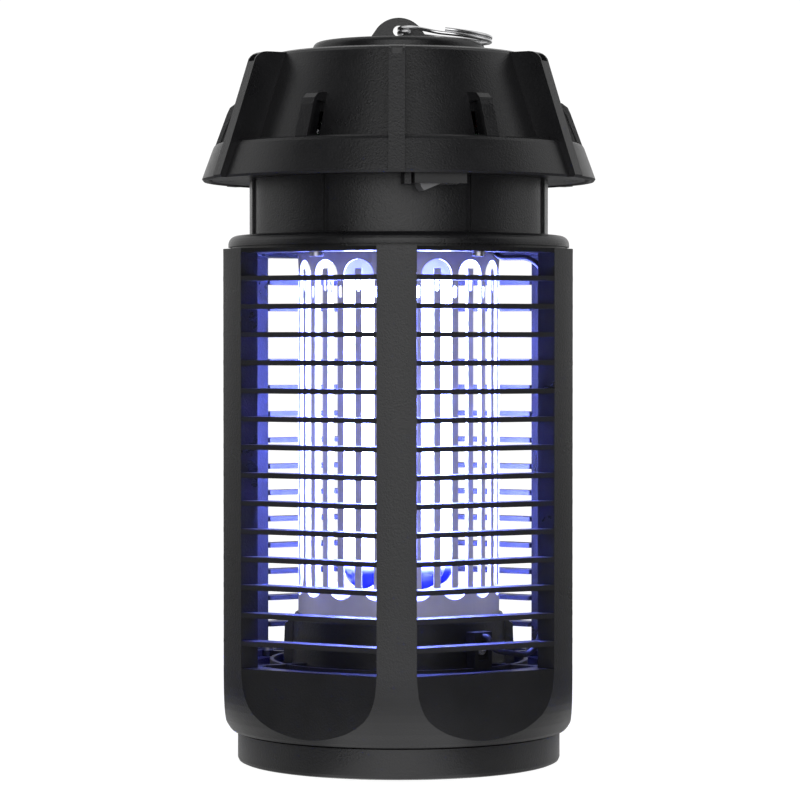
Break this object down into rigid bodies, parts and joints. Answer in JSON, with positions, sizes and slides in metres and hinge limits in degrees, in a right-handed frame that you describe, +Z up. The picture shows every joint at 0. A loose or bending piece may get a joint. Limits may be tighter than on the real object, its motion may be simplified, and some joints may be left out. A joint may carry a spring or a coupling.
{
  "type": "electric bug zapper",
  "caption": "Lantern-shaped electric bug zapper with a finned roof, louvred cage, comb electrodes, ultraviolet lamp, hanging ring and pull-off tray.",
  "frame": {"origin": "centre of the underside of the collection tray, on the surface that the lantern stands on", "axes": "+Z up through the lug, front (switch side) facing -Y, +X to the right seen from the front"},
  "size_m": [0.159, 0.164, 0.3],
  "materials": {
    "housing_plastic": "fine texture, satin black",
    "slat_plastic": "satin black",
    "holder_plastic": "satin black",
    "electrode_steel": "bright rolled sheet",
    "ring_chrome": "polished",
    "screw_steel": "zinc plated",
    "lamp_glass": "lit phosphor-coated glass tube",
    "lamp_cap_plastic": "moulded white",
    "lamp_brass": "plain",
    "socket_plastic": "moulded off-white",
    "board_laminate": "green laminate",
    "standoff_nylon": "natural nylon",
    "transformer_ferrite": "dark ferrite and tape",
    "capacitor_film": "dipped film",
    "diode_body": "moulded",
    "fuse_glass": "clear",
    "switch_plastic": "moulded black",
    "rocker_plastic": "polished black",
    "feedthrough_ceramic": "glazed",
    "hv_insulation": "black silicone sleeve",
    "lamp_lead_insulation": "PVC",
    "switch_lead_insulation": "PVC",
    "gland_plastic": "nylon",
    "seal_rubber": "soft"
  },
  "bodies": {
    "lantern": {"board_screws": "screw_steel", "board_standoffs": "standoff_nylon", "cable_gland": "gland_plastic", "cage_body": "housing_plastic", "cage_screws": "screw_steel", "cap_screws": "screw_steel", "collar_ring": "housing_plastic", "collar_screws": "screw_steel", "driver_board": "board_laminate", "electrode_bottom_comb": "electrode_steel", "electrode_lower_holder": "holder_plastic", "electrode_terminal": "holder_plastic", "electrode_top_comb": "electrode_steel", "electrode_upper_holder": "holder_plastic", "fuse": "fuse_glass", "gland_nut": "gland_plastic", "hanging_cap": "housing_plastic", "holder_screws": "screw_steel", "hv_capacitors": "capacitor_film", "hv_diodes": "diode_body", "hv_feedthroughs": "feedthrough_ceramic", "hv_lead_lower": "hv_insulation", "hv_lead_upper": "hv_insulation", "hv_transformer": "transformer_ferrite", "lamp_cap": "lamp_cap_plastic", "lamp_leads": "lamp_lead_insulation", "lamp_screw_shell": "lamp_brass", "lamp_socket": "socket_plastic", "lamp_tubes": "lamp_glass", "louvre_slats_1": "slat_plastic", "louvre_slats_2": "slat_plastic", "louvre_slats_3": "slat_plastic", "louvre_slats_4": "slat_plastic", "louvre_slats_5": "slat_plastic", "louvre_slats_6": "slat_plastic", "neck_housing": "housing_plastic", "neck_screws": "screw_steel", "rocker_pin": "screw_steel", "roof_base_plate": "housing_plastic", "roof_screws": "screw_steel", "roof_shell": "housing_plastic", "socket_screws": "screw_steel", "switch_body": "switch_plastic", "switch_leads": "switch_lead_insulation", "switch_terminals": "lamp_brass", "terminal_screw": "screw_steel", "upper_holder_screws": "screw_steel"},
    "ring": {"hanging_ring": "ring_chrome"},
    "rocker": {"switch_rocker": "rocker_plastic"},
    "tray": {"collection_tray": "housing_plastic", "tray_seal": "seal_rubber"}
  },
  "joints": [
    {"name": "ring_swing", "type": "hinge", "parent": "lantern", "child": "ring", "pos_m": [0, 0, 0.2947], "axis": [0, -1, 0], "range_deg": [0, 191]},
    {"name": "rocker_tip", "type": "hinge", "parent": "lantern", "child": "rocker", "pos_m": [0.01536, -0.06655, 0.2324], "axis": [-0.225, 0.9744, 0], "range_deg": [0, 22]},
    {"name": "tray_release", "type": "slide", "parent": "lantern", "child": "tray", "axis": [0, 0, -1], "range_m": [0, 0.03]}
  ]
}
